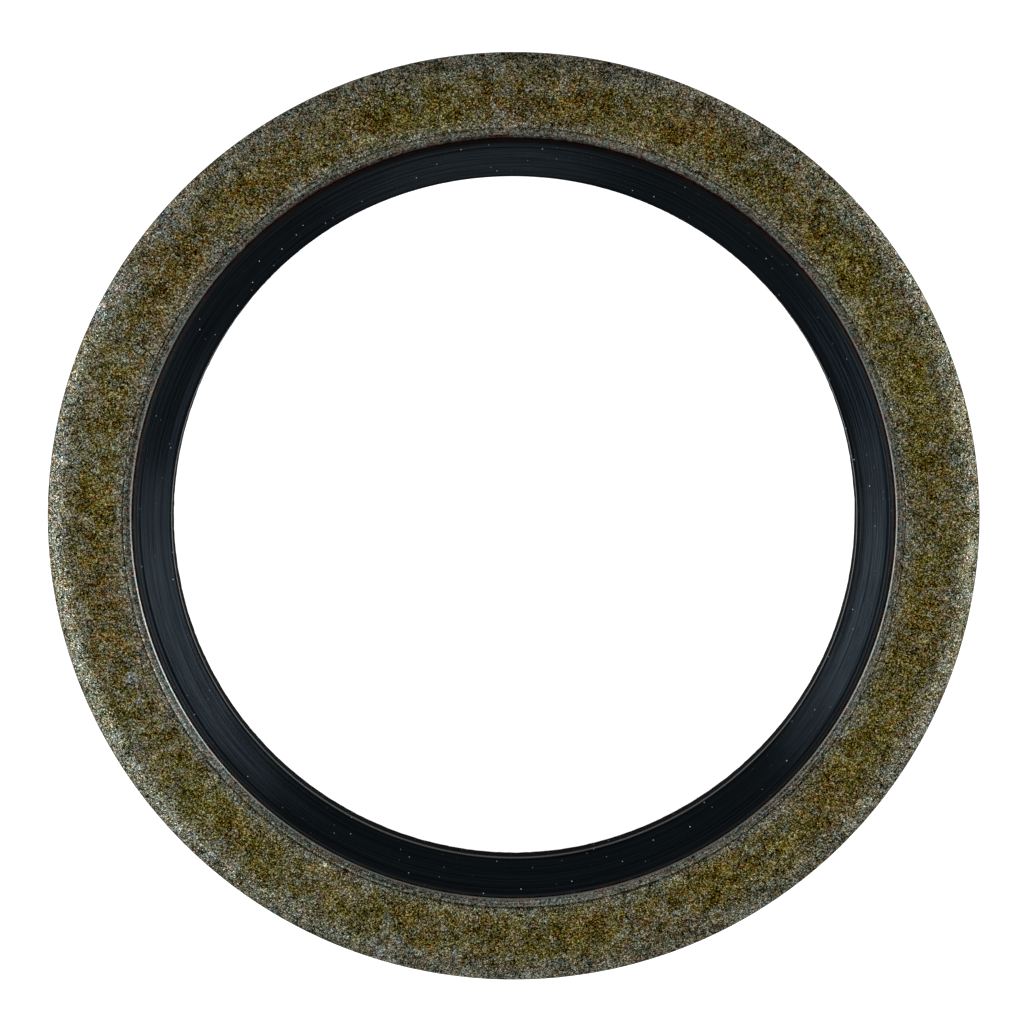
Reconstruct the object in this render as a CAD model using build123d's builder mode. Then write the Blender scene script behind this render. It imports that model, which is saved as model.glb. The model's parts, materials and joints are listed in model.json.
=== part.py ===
from build123d import *
from math import radians, sqrt, tan
import os

# Bonded sealing washer for an M20 thread: a flat steel ring with a rubber seal moulded
# and bonded into its bore. The seal stands proud of both faces of the ring as a lip.
# Tightening the joint squashes the lips until the ring's faces seat, so the ring takes
# the clamping load and limits how far the rubber is crushed.
#
# The origin is on the axis, at the middle of the thickness. +Z is the washer's axis and
# points out of the face whose outer edge carries the die roll of the blanking tool.
# Lengths are in millimetres, angles in degrees.

# Thread that the washer seals, and the radial widths from its crest outwards
thread_diameter = 20.0
thread_clearance = 0.3  # around the thread, which passes without touching the seal
seal_width = 1.1  # rubber, from the seal's bore to the bond
ring_width = 2.6  # steel, from the bond to the outer edge

# Steel ring
ring_thickness = 2.0
bore_edge_break = 0.13  # bevel on both edges of the bore
underside_edge_break = 0.1  # bevel on the outer edge of the underside
die_roll_width = 0.75  # outer edge of the top, drawn down as the ring was blanked
die_roll_depth = 0.22
shut_off_width = 0.31  # band around the bore, coined flat where the mould shut on the ring
shut_off_depth = 0.025

# Rubber seal
seal_land_height = 1.2  # plain cylindrical stretch of the seal's bore
seal_land_edge_radius = 0.12
lip_proud = 0.35  # how far each lip stands above the ring's face
lip_crest_width = 0.04
lip_crest_radius = 0.05  # crown of the crest, which meets a flat face along a line
lip_overlap = 0.03  # how far the lip's foot runs out over the bevelled bore edge
lip_flank_draft = 18.0  # lean of the lip's outer side, so that the mould lets go of it

# Radii and heights that follow from the sizes above
seal_bore_radius = thread_diameter / 2 + thread_clearance
ring_bore_radius = seal_bore_radius + seal_width
ring_radius = ring_bore_radius + ring_width
face_height = ring_thickness / 2
shut_off_height = face_height - shut_off_depth
shut_off_radius = ring_bore_radius + shut_off_width
seal_land_top = seal_land_height / 2
lip_height = face_height + lip_proud
crest_rise = lip_crest_radius - sqrt(lip_crest_radius**2 - (lip_crest_width / 2) ** 2)
crest_edge_height = lip_height - crest_rise
lip_foot_radius = ring_bore_radius + lip_overlap
lip_lean = (crest_edge_height - shut_off_height) * tan(radians(lip_flank_draft))
crest_outer_radius = lip_foot_radius - lip_lean
crest_inner_radius = crest_outer_radius - lip_crest_width

os.makedirs("parts", exist_ok=True)

# The ring's section is drawn once around, with the radius as X and the height as Y.
with BuildPart() as metal_ring:
    with BuildSketch(Plane.XZ) as ring_section:
        with BuildLine():
            die_roll = TangentArc(
                (ring_radius - die_roll_width, face_height),
                (ring_radius, face_height - die_roll_depth),
                tangent=(1, 0),
            )
            Polyline(
                die_roll @ 1,
                (ring_radius, underside_edge_break - face_height),
                (ring_radius - underside_edge_break, -face_height),
                (shut_off_radius + shut_off_depth, -face_height),
                (shut_off_radius, -shut_off_height),
                (ring_bore_radius + bore_edge_break, -shut_off_height),
                (ring_bore_radius, bore_edge_break - shut_off_height),
                (ring_bore_radius, shut_off_height - bore_edge_break),
                (ring_bore_radius + bore_edge_break, shut_off_height),
                (shut_off_radius, shut_off_height),
                (shut_off_radius + shut_off_depth, face_height),
                die_roll @ 0,
            )
        make_face()
    revolve(axis=Axis.Z)


# The rubber fills the bore wall to wall, so the ring's own section is cut out of the
# seal's and the two solids meet face to face along the bond.
with BuildPart() as rubber_seal:
    with BuildSketch(Plane.XZ) as seal_section:
        with BuildLine():
            inner_side = Polyline(
                (seal_bore_radius, 0),
                (seal_bore_radius, seal_land_top),
                (crest_inner_radius, crest_edge_height),
            )
            crest = RadiusArc(
                inner_side @ 1,
                (crest_outer_radius, crest_edge_height),
                lip_crest_radius,
            )
            Polyline(
                crest @ 1,
                (lip_foot_radius, shut_off_height),
                (lip_foot_radius, 0),
            )
            mirror(about=Plane.XZ)
        make_face()
        land_corners = seal_section.vertices().group_by(Axis.X)[0]
        fillet(land_corners, radius=seal_land_edge_radius)
        add(ring_section.sketch_local, mode=Mode.SUBTRACT)
    revolve(axis=Axis.Z)


metal_ring.part.label = "metal_ring"
rubber_seal.part.label = "rubber_seal"

export_step(metal_ring.part, "parts/metal_ring.step")
export_step(rubber_seal.part, "parts/rubber_seal.step")
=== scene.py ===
import json
from math import ceil, cos, exp, pi, radians, sin, tan

import bpy
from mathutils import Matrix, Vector, noise


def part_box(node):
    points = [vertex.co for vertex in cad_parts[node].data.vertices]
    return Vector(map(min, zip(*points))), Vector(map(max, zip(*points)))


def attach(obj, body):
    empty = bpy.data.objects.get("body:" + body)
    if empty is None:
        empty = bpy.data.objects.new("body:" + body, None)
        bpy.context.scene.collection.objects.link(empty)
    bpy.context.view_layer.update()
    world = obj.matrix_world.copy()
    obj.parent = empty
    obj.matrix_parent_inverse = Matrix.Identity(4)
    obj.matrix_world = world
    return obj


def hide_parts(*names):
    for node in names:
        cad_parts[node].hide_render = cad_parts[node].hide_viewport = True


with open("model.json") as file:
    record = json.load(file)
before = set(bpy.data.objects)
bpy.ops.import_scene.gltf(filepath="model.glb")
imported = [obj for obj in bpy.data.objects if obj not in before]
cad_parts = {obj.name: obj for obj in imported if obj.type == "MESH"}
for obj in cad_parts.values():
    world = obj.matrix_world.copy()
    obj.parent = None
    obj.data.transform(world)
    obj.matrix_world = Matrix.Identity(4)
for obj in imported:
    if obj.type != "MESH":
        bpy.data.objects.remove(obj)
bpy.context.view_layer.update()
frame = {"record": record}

# The bonded sealing washer, dressed. Each CAD solid is replaced by a finer turned mesh of
# the same section, which adds what is too small for the solid: the blasted grain and the
# sheared rim of the steel, and the turning lines, mould seam and torn flash of the rubber.
# Lengths are in metres, and are written as so many millimetres.
MM = 0.001


# --- Sizes -------------------------------------------------------------------------

_, ring_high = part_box("metal_ring")
_, seal_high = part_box("rubber_seal")
bore_mount = next(m for m in frame["record"]["mounts"] if m["name"] == "bore")

ring_radius = min(ring_high.x, ring_high.y)  # the faceted solid is a little narrower on Y
face_height = ring_high.z
lip_height = seal_high.z
lip_foot_radius = seal_high.x
seal_bore_radius = bore_mount["dims"]["r_mm"] * MM

# Steel
lip_overlap = 0.03 * MM
ring_bore_radius = lip_foot_radius - lip_overlap
burr_width = 0.1 * MM  # raised rim of the bore, which the mould pressed smooth
burr_height = 0.03 * MM
burr_rounding = 0.02 * MM
shut_off_width = 0.31 * MM
shut_off_depth = 0.025 * MM
witness_groove_width = 0.05 * MM  # left by the edge of the mould around the coined band
witness_groove_depth = 0.015 * MM
die_roll_width = 0.75 * MM
die_roll_depth = 0.22 * MM
die_roll_rounding = 1.2 * MM
roll_corner_share = 0.46  # how far in the corner lies that the rounding takes off
rim_corner_rounding = 0.07 * MM
sheared_share = 0.42  # upper part of the rim, burnished by the die; the rest tore
torn_recess = 0.025 * MM
underside_edge_rounding = 0.08 * MM
# Bright marks on the top: a chip of bare steel near the band, and two painted glints on the rim.
# Bearing clockwise from +X, radius and size in mm, brightness
chip_and_glints = [(118.6, 11.87, 0.14, 0.3), (313.5, 13.8, 0.07, 0.9), (187.0, 13.75, 0.06, 0.7)]

# Rubber
seal_land_top = 0.6 * MM
land_edge_rounding = 0.12 * MM
crest_width = 0.04 * MM
crest_rounding = 0.018 * MM
crest_line_width = 0.05 * MM  # fine groove around the cone, just below the crest
crest_line_depth = 0.02 * MM
crest_line_setback = 0.08 * MM
flank_lean = tan(radians(18))
foot_depth = 0.08 * MM  # how far the lip's foot reaches down past the coined band
foot_taper = 0.06 * MM
bond_depth = 0.01 * MM  # the rubber's hidden side lies this far inside the steel

shut_off_height = face_height - shut_off_depth
shut_off_radius = ring_bore_radius + shut_off_width
lip_lean = (lip_height - shut_off_height) * flank_lean
crest_outer_radius = lip_foot_radius - lip_lean
crest_inner_radius = crest_outer_radius - crest_width
crest_line_radius = crest_inner_radius - crest_line_setback

# The reliefs and the finishes are drawn in plain millimetres. They measure their places
# from these radii and heights.
bore = seal_bore_radius / MM
bond = ring_bore_radius / MM
band_edge = shut_off_radius / MM
face_start = band_edge + 0.03  # in the groove around the band
rim = ring_high.x / MM
land_top = seal_land_top / MM
flash_top = 0.3  # the flash was torn off the land below this height
flash_fade = 0.03


# --- Turned meshes -----------------------------------------------------------------

arc_spacing = 0.025 * MM


def rounded_section(corners):
    """Points of a closed section, as (radius, height), walked clockwise.

    Each corner is (radius, height, rounding, spacing of the points up to the next).
    """
    places = [Vector(corner[:2]) for corner in corners]
    points = []
    for i, (_, _, rounding, spacing) in enumerate(corners):
        before, here, after = places[i - 1], places[i], places[(i + 1) % len(places)]
        towards_before = (before - here).normalized()
        towards_after = (after - here).normalized()
        half_angle = towards_before.angle(towards_after) / 2
        trim = rounding / tan(half_angle)
        start = here + towards_before * trim
        end = here + towards_after * trim
        inwards = (towards_before + towards_after).normalized()
        centre = here + inwards * (rounding / sin(half_angle))
        arc_length = rounding * (pi - 2 * half_angle)
        arc_steps = max(1, ceil(arc_length / arc_spacing)) if rounding else 0
        for step in range(arc_steps + 1):
            share = step / arc_steps if arc_steps else 0
            chord = start.lerp(end, share)
            points.append(centre + (chord - centre).normalized() * rounding if rounding else here)
        # The straight run ends where the next corner's rounding begins
        beyond = places[(i + 2) % len(places)]
        next_rounding = corners[(i + 1) % len(corners)][2]
        turn_in = (here - after).normalized()
        turn_out = (beyond - after).normalized()
        run_end = after + turn_in * (next_rounding / tan(turn_in.angle(turn_out) / 2))
        run_steps = ceil((run_end - end).length / spacing)
        points += [end.lerp(run_end, step / run_steps) for step in range(1, run_steps)]
    return points


def turned_piece(name, section, segments, relief):
    """A ring turned from a section, each point moved out of the surface by relief().

    relief() takes the point's place and its (radius, height), both in millimetres, and
    its angle. It gives back millimetres. Where a relief multiplies a place, it is by the
    noise's fineness, in bumps to the millimetre.
    """
    count = len(section)
    outward = []
    for i in range(count):
        along = section[(i + 1) % count] - section[i - 1]
        outward.append(Vector((-along.y, along.x)).normalized())
    vertices = []
    for turn in range(segments):
        angle = 2 * pi * turn / segments
        for point, out in zip(section, outward):
            plain = Vector((point.x * cos(angle), point.x * sin(angle), point.y))
            moved = point + out * relief(plain / MM, point / MM, angle) * MM
            vertices.append((moved.x * cos(angle), moved.x * sin(angle), moved.y))
    faces = []
    for turn in range(segments):
        this_row = turn * count
        next_row = (turn + 1) % segments * count
        for i in range(count):
            j = (i + 1) % count
            faces.append((this_row + i, next_row + i, next_row + j, this_row + j))
    mesh = bpy.data.meshes.new(name)
    mesh.from_pydata(vertices, [], faces)
    mesh.shade_smooth()
    piece = bpy.data.objects.new(name, mesh)
    bpy.context.scene.collection.objects.link(piece)
    return piece


def smooth_step(value, low, high):
    share = min(max((value - low) / (high - low), 0), 1)
    return share * share * (3 - 2 * share)


# --- Steel ring --------------------------------------------------------------------

grain_depth = 0.006  # in millimetres, as all reliefs are
coined_flatness = 0.75  # share of the grain's depth that the mould pressed out of the band
rim_flatness = 0.6


def steel_section():
    """The ring's section: bore, burr, coined band, face, die roll, rim and underside."""
    groove_outer = shut_off_radius + witness_groove_width
    groove_floor = shut_off_height - witness_groove_depth
    roll_corner = ring_radius - roll_corner_share * die_roll_width
    rim_top = face_height - die_roll_depth
    sheared_bottom = rim_top - sheared_share * (rim_top + face_height)
    torn_radius = ring_radius - torn_recess
    fine, plain, hidden = 0.062 * MM, 0.12 * MM, 2 * MM
    return rounded_section([
        (ring_bore_radius, shut_off_height - burr_width, 0, fine),
        (ring_bore_radius + burr_width / 2, shut_off_height + burr_height, burr_rounding, fine),
        (ring_bore_radius + burr_width, shut_off_height, burr_rounding, fine),
        (shut_off_radius, shut_off_height, 0, fine),
        (shut_off_radius + witness_groove_width / 2, groove_floor, 0, fine),
        (groove_outer, face_height, 0, fine),
        (roll_corner, face_height, die_roll_rounding, fine),
        (ring_radius, rim_top, rim_corner_rounding, plain),
        (ring_radius, sheared_bottom, 0, plain),
        (torn_radius, sheared_bottom - torn_recess, 0, plain),
        (torn_radius, -face_height, underside_edge_rounding, plain),
        (groove_outer, -face_height, 0, plain),
        (shut_off_radius, -shut_off_height, 0, plain),
        (ring_bore_radius, -shut_off_height, 0, hidden),
    ])


def steel_relief(place, section_point, angle):
    """Blasted grain: full on the face, shallower on the coined band and at the rim."""
    radius, _ = section_point
    clear_of_burr = smooth_step(radius, band_edge - 0.22, band_edge - 0.15)
    coined = 1 - smooth_step(radius, band_edge - 0.02, band_edge + 0.1)
    at_rim = smooth_step(radius, rim - 0.14, rim - 0.04)
    depth = grain_depth * clear_of_burr
    depth *= (1 - coined_flatness * coined) * (1 - rim_flatness * at_rim)
    swell = noise.noise(place * 2.3)
    grain = noise.noise(place * 7.1)
    grit = noise.noise(place * 13.7)
    return depth * (0.25 * swell + 0.65 * grain + 1.0 * grit - 0.9)


# --- Rubber seal -------------------------------------------------------------------

# Heights and widths of the reliefs in millimetres, and the fineness of their noise: across
# in bumps to the millimetre, and around in bumps to the radian
turning_line_height = 0.0022
turning_line_across, turning_line_around = 9, 0.4
fine_line_height = 0.0012
fine_line_across, fine_line_around = 21, 0.9
seam_half_width = 0.018
seam_height = 0.012
seam_unevenness = 0.006
seam_around = 6
waviness = 0.055  # of the bore, by which its edge strays from a true circle
waviness_around = 1.3
flash_height = 0.012
foot_unevenness = 0.012
swell_height = 0.0015
sunk_by = 0.002  # the whole surface, so that its highest points stay inside the CAD's box

# Where each pattern is cut from its noise
upper_cone_offset, lower_cone_offset = 40, 90
fine_line_offset = 7
seam_offset = 3
waviness_offset = 47.25  # puts the wide and narrow stretches about where the photo has them


def rubber_section():
    """The seal's section: land, cone, crest and flank of the lip, and the same below."""
    cone_slope = (lip_height - seal_land_top) / (crest_inner_radius - seal_bore_radius)
    line_height = lip_height - crest_line_setback * cone_slope
    line_half = crest_line_width / 2
    foot_height = shut_off_height - foot_depth
    bond_radius = ring_bore_radius + bond_depth
    fine, plain, hidden = 0.02 * MM, 0.045 * MM, 2 * MM
    upper = [
        (seal_bore_radius, seal_land_top, land_edge_rounding, fine),
        (crest_line_radius - line_half, line_height - line_half * cone_slope, 0, fine),
        (crest_line_radius, line_height - crest_line_depth, 0, fine),
        (crest_line_radius + line_half, line_height + line_half * cone_slope, 0, fine),
        (crest_inner_radius, lip_height, crest_rounding, fine),
        (crest_outer_radius, lip_height, crest_rounding, plain),
        (lip_foot_radius, shut_off_height, 0, plain),
        (lip_foot_radius, foot_height, 0, plain),
        (bond_radius, foot_height - foot_taper, 0, hidden),
    ]
    lower = [(radius, -height, rounding) for radius, height, rounding, _ in reversed(upper)]
    spacings = [upper[i][3] for i in reversed(range(len(upper) - 1))] + [plain]
    return rounded_section(upper + [corner + (gap,) for corner, gap in zip(lower, spacings)])


def turning_lines(radius, height, angle):
    """Lines that the turned mould left on the cones, above and below."""
    on_cone = smooth_step(radius, bore + 0.04, bore + 0.12)
    on_cone *= 1 - smooth_step(radius, bond - 0.28, bond - 0.24)
    side = upper_cone_offset if height > 0 else lower_cone_offset
    line = noise.noise(
        Vector((radius * turning_line_across, side, angle * turning_line_around))
    )
    fine_line = noise.noise(
        Vector((radius * fine_line_across, side + fine_line_offset, angle * fine_line_around))
    )
    return on_cone * (turning_line_height * line + fine_line_height * fine_line)


def mould_seam(radius, height, angle):
    """The seam around the middle of the land, where the halves of the mould met."""
    on_land = 1 - smooth_step(radius, bore + 0.04, bore + 0.1)
    uneven = noise.noise(Vector((angle * seam_around, seam_offset, 0)))
    ridge = seam_height + seam_unevenness * uneven
    return exp(-((height / seam_half_width) ** 2)) * on_land * ridge


def wavy_bore(radius, height, angle):
    """The bore's edge, which strays a little from a true circle."""
    near_bore = 1 - smooth_step(radius, bore + 0.04, bore + 0.3)
    around = Vector((cos(angle), sin(angle), 0)) * waviness_around
    around.z = waviness_offset + height * 0.1
    return -waviness * near_bore * noise.noise(around)


def torn_flash(radius, height, place):
    """Remains on the part of the land that the flash was torn off."""
    torn = 1 - smooth_step(height, flash_top - flash_fade, flash_top + flash_fade)
    at_bore = 1 - smooth_step(radius, bore, bore + 0.05)
    return flash_height * torn * at_bore * noise.noise(place * 5.3)


def rubber_relief(place, section_point, angle):
    """Turning lines, mould seam, torn flash and waviness of the bore."""
    radius, height = section_point
    relief = turning_lines(radius, height, angle) + mould_seam(radius, height, angle)
    relief += wavy_bore(radius, height, angle) + torn_flash(radius, height, place)
    at_foot = smooth_step(radius, bond - 0.1, bond + 0.02)
    relief += foot_unevenness * at_foot * noise.noise(place * 3.1)
    return relief + swell_height * noise.noise(place * 1.3) - sunk_by


# --- Materials ---------------------------------------------------------------------

class ShaderGraph:
    """The nodes of a material or a world, with helpers that add to them.

    add() and cells() give back a node, and the others give back an output of one.
    """

    def __init__(self, owner):
        self.owner = owner
        owner.use_nodes = True
        self.nodes = owner.node_tree.nodes
        self.links = owner.node_tree.links
        self.nodes.clear()

    def feed(self, socket, value):
        if isinstance(value, bpy.types.NodeSocket):
            self.links.new(value, socket)
        else:
            socket.default_value = value

    def add(self, kind, inputs, **settings):
        node = self.nodes.new("ShaderNode" + kind)
        for setting, value in settings.items():
            setattr(node, setting, value)
        for socket, value in inputs.items():
            self.feed(node.inputs[socket], value)
        return node

    def math(self, operation, first, second=0.0, third=0.0, clamp=False):
        inputs = {0: first, 1: second, 2: third}
        return self.add("Math", inputs, operation=operation, use_clamp=clamp).outputs[0]

    def scaled(self, value, factor, plus=0.0):
        return self.math("MULTIPLY_ADD", value, factor, plus)

    def noise(self, vector, scale, detail=2.0, roughness=0.5):
        inputs = {"Vector": vector, "Scale": scale, "Detail": detail, "Roughness": roughness}
        return self.add("TexNoise", inputs).outputs["Fac"]

    def cells(self, vector, scale):
        """A node whose Red, Green and Blue are random, and the same all over a cell."""
        colour = self.add("TexVoronoi", {"Vector": vector, "Scale": scale}).outputs["Color"]
        return self.add("SeparateColor", {0: colour})

    def rings(self, vector, across, fineness):
        """Noise drawn out into rings around the axis, which come and go along their way."""
        drawn_out = self.add("VectorMath", {0: vector, "Scale": 0.12}, operation="SCALE")
        inputs = {
            "Vector": drawn_out.outputs[0],
            "W": self.math("MULTIPLY", across, fineness),
            "Scale": 1.0,
            "Detail": 3.0,
            "Roughness": 0.8,
        }
        return self.add("TexNoise", inputs, noise_dimensions="4D").outputs["Fac"]

    def smooth(self, value, low, high, at_low=0.0, at_high=1.0):
        inputs = {
            "Value": value,
            "From Min": low,
            "From Max": high,
            "To Min": at_low,
            "To Max": at_high,
        }
        return self.add("MapRange", inputs, interpolation_type="SMOOTHSTEP").outputs["Result"]

    def between(self, factor, first, second):
        """A number between two others, as mix() gives a colour between two colours."""
        return self.add("Mix", {0: factor, 2: first, 3: second}).outputs[0]

    def mix(self, factor, first, second, blend="MIX", clamp=False):
        node = self.nodes.new("ShaderNodeMix")
        node.data_type = "RGBA"
        node.blend_type = blend
        node.clamp_result = clamp
        for socket, value in ((0, factor), (6, first), (7, second)):
            self.feed(node.inputs[socket], value)
        return node.outputs[2]

    def place(self):
        """The object's own coordinates in millimetres, their radius and their height."""
        coordinates = self.add("TexCoord", {}).outputs["Object"]
        scaled = self.add("VectorMath", {0: coordinates, "Scale": 1 / MM}, operation="SCALE")
        vector = scaled.outputs[0]
        flat = self.add("VectorMath", {0: vector, 1: (1, 1, 0)}, operation="MULTIPLY")
        radius = self.add("VectorMath", {0: flat.outputs[0]}, operation="LENGTH").outputs["Value"]
        height = self.add("SeparateXYZ", {0: vector}).outputs["Z"]
        return vector, radius, height

    def towards(self, axis, vector, radius):
        """How squarely a point lies towards an axis: 1 along it and -1 opposite."""
        along = self.add("SeparateXYZ", {0: vector}).outputs[axis]
        return self.math("DIVIDE", along, radius)

    def spot(self, vector, bearing, distance, size):
        """A small ragged spot on the top, so many millimetres from the axis at a bearing."""
        turn = radians(-bearing)
        centre = (distance * cos(turn), distance * sin(turn), face_height / MM)
        gap = self.add("VectorMath", {0: vector, 1: centre}, operation="DISTANCE").outputs["Value"]
        ragged = self.scaled(self.noise(vector, scale=9.0, detail=1.0, roughness=0.5), size, gap)
        return self.smooth(ragged, size * 1.1, size * 0.8)

    def seen(self):
        """1 for camera, glossy and transmission rays, and 0 for those that light things."""
        path = self.add("LightPath", {}).outputs
        seen = self.math("ADD", path["Is Camera Ray"], path["Is Glossy Ray"])
        return self.math("ADD", seen, path["Is Transmission Ray"], clamp=True)

    def finish(self, shader, output_kind="OutputMaterial"):
        output = self.add(output_kind, {})
        self.links.new(shader.outputs[0], output.inputs["Surface"])
        return self.owner


# Steel: colours as they look, to which the brightness of the grains is added
film_olive = (0.318, 0.292, 0.112, 1)
film_brown = (0.352, 0.264, 0.112, 1)
bare_cool = (0.334, 0.362, 0.354, 1)
bare_warm = (0.378, 0.353, 0.326, 1)
# Brown of the bonding agent, also used as painted shade beside the lip towards +Y
agent_and_shade_brown = (0.13, 0.06, 0.045, 1)
display_gamma = 2.2

# Brightness of single parts, which is added to the tint
face_level = -0.54
worn_level = -0.515  # of the face near the bore
pressed_level = -0.085  # of the coined band, beside the rest
pit_level = -0.2
# Painted shade in the mould's groove
groove_shade_level = -0.12
nick_level = -0.15
burr_level = 0.46

grit_height = 0.02 * MM  # of the bumps that are too fine for the mesh


def steel_grains(m, vector, radius, coarse):
    """Brightness of the blasted grains, and of the pressed rings on the coined band."""
    fine = m.cells(vector, scale=42.0).outputs["Red"]
    grain = m.scaled(coarse.outputs["Red"], 0.38, m.scaled(fine, 0.62))
    blasted = m.scaled(m.math("POWER", grain, 1.5), 0.6)
    pits = m.smooth(m.noise(vector, scale=9.0, detail=1.0, roughness=0.5), 0.66, 0.76)
    blasted = m.scaled(pits, pit_level, blasted)
    mottled = m.scaled(m.noise(vector, scale=1.8, detail=4.0, roughness=0.7), 0.4, blasted)
    rings = m.scaled(m.rings(vector, radius, fineness=14.0), 0.65)
    pressed = m.math("ADD", m.scaled(blasted, 0.8, rings), pressed_level)
    band = m.smooth(radius, face_start + 0.05, face_start - 0.05)
    return m.between(band, mottled, pressed)


def steel_brightness(m, vector, radius, coarse):
    """Grains, the even burr, painted shade in the mould's groove, dark nicks, a bright chip, and
    painted glints on the rim.
    """
    burr = m.smooth(radius, bond + 0.12, bond + 0.09)
    light = m.between(burr, steel_grains(m, vector, radius, coarse), burr_level)
    # Painted shade in the groove that the mould's edge left
    from_groove = m.math("ABSOLUTE", m.math("SUBTRACT", radius, face_start))
    groove_shade = m.scaled(m.smooth(from_groove, 0.04, 0.0), groove_shade_level)
    nicks = m.smooth(m.noise(vector, scale=8.0, detail=1.0, roughness=0.5), 0.64, 0.7)
    on_roll = m.smooth(radius, rim - 0.4, rim - 0.15, at_high=nick_level)
    nicks = m.math("MULTIPLY", nicks, on_roll)
    worn = m.smooth(radius, bond + 1.1, bond + 0.4, at_low=face_level, at_high=worn_level)
    light = m.math("ADD", m.math("ADD", light, worn), m.math("ADD", groove_shade, nicks))
    # The chip, and the painted glints on the rim
    for bearing, distance, size, gain in chip_and_glints:
        light = m.scaled(m.spot(vector, bearing, distance, size), gain, light)
    return light


def zinc_film(m, vector, radius):
    """Thickness of the film: most halfway across the face and towards +X, and patchy."""
    inner_fade = m.smooth(radius, bond + 0.02, bond + 0.95)
    outer_fade = m.smooth(radius, rim - 0.2, rim - 1.2, at_low=0.3)
    clouds = m.noise(vector, scale=0.6, detail=3.0, roughness=0.6)
    patches = m.scaled(clouds, 0.7, m.noise(vector, scale=3.0, detail=2.0, roughness=0.7))
    thickness = m.scaled(patches, 2.3, -1.27)
    thickness = m.scaled(m.towards("X", vector, radius), 0.07, thickness)
    return m.math("MULTIPLY", m.math("MULTIPLY", inner_fade, outer_fade), thickness, clamp=True)


def steel_tint(m, vector, radius):
    """Grey steel under the yellow film, and the brown bonding agent that crept out on to it, drawn
    wider towards +Y as painted shade beside the lip.
    """
    broad_hue = m.noise(vector, scale=0.4, detail=2.0, roughness=0.5)
    hue = m.scaled(broad_hue, 0.5, m.noise(vector, scale=5.0, detail=1.0, roughness=0.6))
    film_colour = m.mix(m.smooth(hue, 0.66, 0.96), film_olive, film_brown)
    grey_hue = m.smooth(m.noise(vector, scale=3.5, detail=3.0, roughness=0.7), 0.35, 0.65)
    bare_colour = m.mix(grey_hue, bare_cool, bare_warm)
    tint = m.mix(zinc_film(m, vector, radius), bare_colour, film_colour)
    # The brown reaches furthest on the side towards +Y, where it is painted shade that the lip
    # throws on the steel.
    agent_and_shade_reach = m.smooth(m.towards("Y", vector, radius), 0.45, 0.85, at_low=0.08, at_high=0.33)
    agent_and_shade_reach = m.math("MULTIPLY", agent_and_shade_reach, m.noise(vector, scale=5.0, detail=2.0, roughness=0.7))
    from_bond = m.math("SUBTRACT", radius, bond)
    agent_and_shade = m.smooth(m.math("DIVIDE", from_bond, agent_and_shade_reach), 1.0, 0.0, at_high=0.9)
    return m.mix(agent_and_shade, tint, agent_and_shade_brown)


def steel_finish():
    """Grit-blasted steel under a mottled yellow passivated zinc film.

    The colours are put together as they look, and are made linear at the end.
    """
    m = ShaderGraph(bpy.data.materials.new("passivated_steel"))
    vector, radius, _ = m.place()
    coarse = m.cells(vector, scale=24.0)
    light = steel_brightness(m, vector, radius, coarse)
    coloured = m.mix(1.0, steel_tint(m, vector, radius), light, "ADD", clamp=True)
    linear = m.add("Gamma", {"Color": coloured, "Gamma": display_gamma}).outputs[0]

    face_bump = m.smooth(radius, bond + 0.1, bond + 0.4, at_low=0.15, at_high=0.6)
    roll_bump = m.smooth(radius, rim - 0.8, rim - 0.4, at_high=0.35)
    bump = m.add("Bump", {
        "Height": m.noise(vector, scale=16.0, detail=1.0, roughness=0.5),
        "Strength": m.math("ADD", face_bump, roll_bump),
        "Distance": grit_height,
    })
    face_roughness = m.smooth(radius, bond + 0.1, bond + 0.4, at_low=0.22, at_high=0.38)
    shader = m.add("BsdfPrincipled", {
        "Base Color": linear,
        "Metallic": 1.0,
        "Roughness": m.scaled(coarse.outputs["Blue"], 0.2, face_roughness),
        "Normal": bump.outputs[0],
    })
    return m.finish(shader)


# Rubber: linear colours
# Painted shade in the grooves of the turning rings, and painted light on their ridges
shaded_groove_black = (0.0003, 0.0005, 0.0006, 1)
lit_ridge_black = (0.0019, 0.003, 0.0037, 1)
clouded_black = (0.0008, 0.001, 0.001, 1)
torn_black = (0.0012, 0.0013, 0.0014, 1)
torn_grey = (0.016, 0.0158, 0.0156, 1)
land_black = (0.006, 0.0065, 0.0065, 1)
# Painted light on the lip's flank, the light that the steel throws on to it
flank_painted_light = (0.005, 0.0047, 0.005, 1)
dust = (0.45, 0.5, 0.52, 1)
bond_brown = (0.03, 0.008, 0.006, 1)
shine_tint = (0.56, 0.78, 1.0, 1)

cone_roughness = 0.19
line_bump_height = 0.0055 * MM
dull_streak, bright_streak = 0.026, 0.068
land_shine = 0.0018


def dust_specks(m, vector, land):
    """Specks of dust, of which more show on the land than on the cones."""
    specks = m.add("TexVoronoi", {"Vector": vector, "Scale": 4.5})
    strength = m.add("SeparateColor", {0: specks.outputs["Color"]}).outputs["Red"]
    speck = m.math("MULTIPLY", m.smooth(specks.outputs["Distance"], 0.1, 0.05), strength)
    return m.math("POWER", speck, m.scaled(land, -1.5, 3.0))


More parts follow.
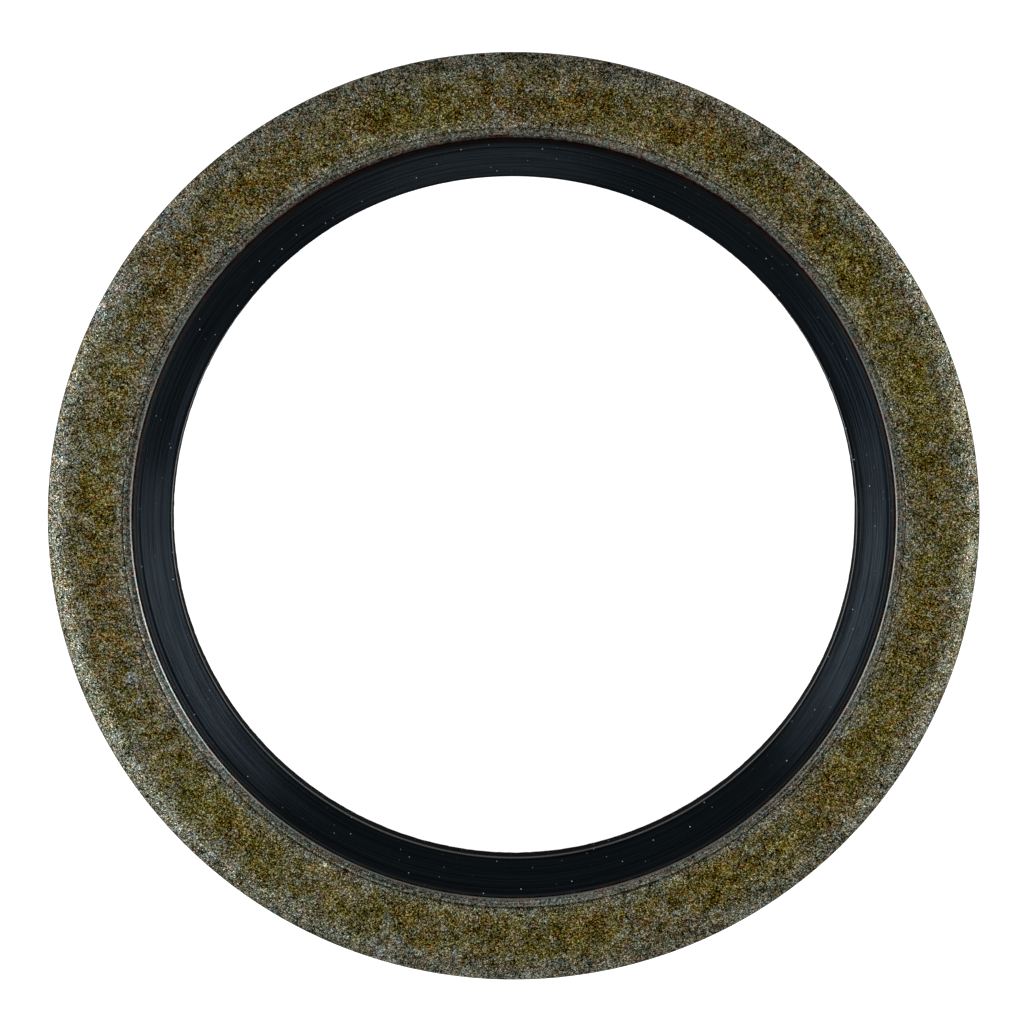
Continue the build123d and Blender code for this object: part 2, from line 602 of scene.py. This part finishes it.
def rubber_colour(m, vector, radius, lines, land, moulded):
    """Black, with painted shade and light in rings on the cones, grey where the flash tore, dusty,
    painted light on the lip's flank, and brown at the bond.
    """
    # The rings are painted darker in their grooves and lighter on their ridges, as shade and light
    shade = m.mix(m.smooth(lines, 0.35, 0.7), shaded_groove_black, lit_ridge_black)
    cloud = m.noise(vector, scale=1.1, detail=3.0, roughness=0.6)
    clouded = m.mix(m.scaled(cloud, 0.4), shade, clouded_black)
    crumbled = m.mix(m.noise(vector, scale=5.0, detail=3.0, roughness=0.7), torn_black, torn_grey)
    walled = m.mix(land, clouded, m.mix(moulded, crumbled, land_black))
    dusty = m.mix(dust_specks(m, vector, land), walled, dust)
    # The lip's flank is painted a lighter purple-grey, as light from the steel
    flank = m.smooth(radius, bond - 0.14, bond - 0.08)
    flank_lightened = m.mix(flank, dusty, flank_painted_light)
    ragged_radius = m.scaled(m.noise(vector, scale=2.0, detail=2.0, roughness=0.6), 0.05, radius)
    bond_edge = m.smooth(ragged_radius, bond + 0.035, bond + 0.055)
    return m.mix(bond_edge, flank_lightened, bond_brown)


def rubber_shine(m, radius, from_middle, lines, land, moulded):
    """The cones shine most, in streaks. The land and the lip's flank are dull."""
    streaks = m.smooth(lines, 0.34, 0.66, at_low=dull_streak, at_high=bright_streak)
    flank = m.smooth(radius, bond - 0.12, bond - 0.07, at_low=1.0, at_high=0.15)
    from_line = m.math("ABSOLUTE", m.math("SUBTRACT", radius, crest_line_radius / MM))
    crest_line = m.smooth(from_line, 0.03, 0.0, at_low=1.0, at_high=0.4)
    cone = m.smooth(from_middle, land_top + 0.02, land_top + 0.07, at_low=0.2)
    level = m.math("MULTIPLY", m.math("MULTIPLY", streaks, flank), crest_line)
    level = m.math("MULTIPLY", level, cone)
    return m.between(land, level, m.scaled(moulded, land_shine))


def rubber_finish():
    """Black nitrile rubber with the satin rings of a turned mould.

    The upper part of the land is smooth. The flash was torn off the rest, which is dull.
    """
    m = ShaderGraph(bpy.data.materials.new("nitrile_rubber"))
    vector, radius, height = m.place()
    lines = m.rings(vector, m.scaled(height, 0.4, radius), fineness=27.0)
    from_middle = m.math("ABSOLUTE", height)
    land = m.smooth(from_middle, land_top + 0.01, land_top - 0.03)
    moulded = m.smooth(height, flash_top - flash_fade, flash_top + flash_fade)
    bump = m.add("Bump", {"Height": lines, "Strength": 1.0, "Distance": line_bump_height})
    shader = m.add("BsdfPrincipled", {
        "Base Color": rubber_colour(m, vector, radius, lines, land, moulded),
        "Roughness": cone_roughness,
        "Specular IOR Level": rubber_shine(m, radius, from_middle, lines, land, moulded),
        "Specular Tint": shine_tint,
        "Normal": bump.outputs[0],
    })
    return m.finish(shader)


def floor_finish():
    """A pale floor that shows white to the camera and keeps the object's shadow."""
    m = ShaderGraph(bpy.data.materials.new("pale_floor"))
    strength = m.scaled(m.seen(), 0.92)
    glow = m.add("Emission", {"Color": (1, 1, 1, 1), "Strength": strength})
    matte = m.add("BsdfDiffuse", {"Color": (0.35, 0.35, 0.35, 1)})
    both = m.add("AddShader", {0: glow.outputs[0], 1: matte.outputs[0]})
    return m.finish(both)


# --- Pieces ------------------------------------------------------------------------

# As many segments as keep each piece under 200,000 triangles
steel_segments = 880
rubber_segments = 500

steel_ring = turned_piece("steel_ring", steel_section(), steel_segments, steel_relief)
steel_ring.data.materials.append(steel_finish())
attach(steel_ring, "root")
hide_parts("metal_ring")

sealing_rubber = turned_piece("sealing_rubber", rubber_section(), rubber_segments, rubber_relief)
sealing_rubber.data.materials.append(rubber_finish())
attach(sealing_rubber, "root")
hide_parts("rubber_seal")


# --- Stage, light and camera -------------------------------------------------------

def pale_floor(height, half_side):
    mesh = bpy.data.meshes.new("floor")
    signs = ((-1, -1), (1, -1), (1, 1), (-1, 1))
    corners = [(x * half_side, y * half_side, height) for x, y in signs]
    mesh.from_pydata(corners, [], [(0, 1, 2, 3)])
    floor = bpy.data.objects.new("floor", mesh)
    bpy.context.scene.collection.objects.link(floor)
    floor.data.materials.append(floor_finish())


lamp_distance = 450 * MM
strip_gap = 10 * MM


def soft_box(
    name, bearing, elevation, width, height, radiance, colour=(1, 1, 1), distance=lamp_distance
):
    """A soft lamp that faces the object; its bearing turns clockwise from the picture's right."""
    light = bpy.data.lights.new(name, "AREA")
    light.shape = "RECTANGLE"
    light.color = colour
    light.size = width
    light.size_y = height
    light.energy = radiance * pi * width * height
    lamp = bpy.data.objects.new(name, light)
    bpy.context.scene.collection.objects.link(lamp)
    flat = cos(radians(elevation))
    turn = radians(-bearing)
    away = Vector((cos(turn) * flat, sin(turn) * flat, sin(radians(elevation))))
    lamp.location = away * distance
    lamp.rotation_euler = away.to_track_quat("Z", "Y").to_euler()
    lamp.visible_camera = False


def graded_strip(name, bearing, elevation, height, strips):
    """Strip lamps one behind the other, whose light falls off towards their ends.

    Each strip is (width, radiance).
    """
    for i, (width, radiance) in enumerate(strips):
        distance = lamp_distance + i * strip_gap
        soft_box(f"{name}_{i}", bearing, elevation, width, height, radiance, distance=distance)


def pale_world(diffuse_level):
    """White where it is seen, and dimmer as a light on things."""
    graph = ShaderGraph(bpy.data.worlds.new("studio"))
    inputs = {"Value": graph.seen(), "To Min": diffuse_level, "To Max": 1.0}
    level = graph.add("MapRange", inputs).outputs["Result"]
    background = graph.add("Background", {"Color": (1, 1, 1, 1), "Strength": level})
    bpy.context.scene.world = graph.finish(background, "OutputWorld")


def camera_over(distance, tilt, width_share, aside):
    """A camera above the washer, leaning towards +Y, whose picture the washer fills to a share."""
    data = bpy.data.cameras.new("camera")
    data.sensor_width = 36  # Blender takes this one in millimetres
    picture_width = 2 * ring_radius / width_share
    data.lens = data.sensor_width * (distance - face_height) / picture_width
    camera = bpy.data.objects.new("camera", data)
    bpy.context.scene.collection.objects.link(camera)
    bpy.context.scene.camera = camera
    back = Vector((0, sin(radians(tilt)), cos(radians(tilt))))
    camera.location = aside + back * distance
    camera.rotation_euler = (radians(-tilt), 0, 0)
    data.clip_start = distance * 0.01
    data.clip_end = distance * 100


pale_floor(-lip_height, half_side=3)

# The boxes light the steel, most of all its die roll. The rubber's cones mirror the
# strips, ends and all, so the two at the sides are graded.
soft_box(
    "box_left", bearing=152, elevation=43, width=0.17, height=0.20, radiance=17.0,
    colour=(0.92, 1.0, 1.09),
)
soft_box(
    "box_right", bearing=17, elevation=43, width=0.25, height=0.20, radiance=8.2,
    colour=(0.98, 1.0, 1.06),
)
graded_strip(
    "strip_left", bearing=188, elevation=20, height=0.11, strips=[(0.43, 8.5), (0.25, 10.0)]
)
graded_strip(
    "strip_right", bearing=345, elevation=20, height=0.11, strips=[(0.46, 8.5), (0.26, 6.5)]
)
soft_box("strip_front", bearing=84, elevation=14, width=0.26, height=0.10, radiance=4.0)
pale_world(diffuse_level=0.25)
camera_over(
    distance=140 * MM, tilt=5.4, width_share=0.9122, aside=Vector((-0.050, 0.176, 0)) * MM
)
bpy.context.scene.view_settings.view_transform = "Standard"
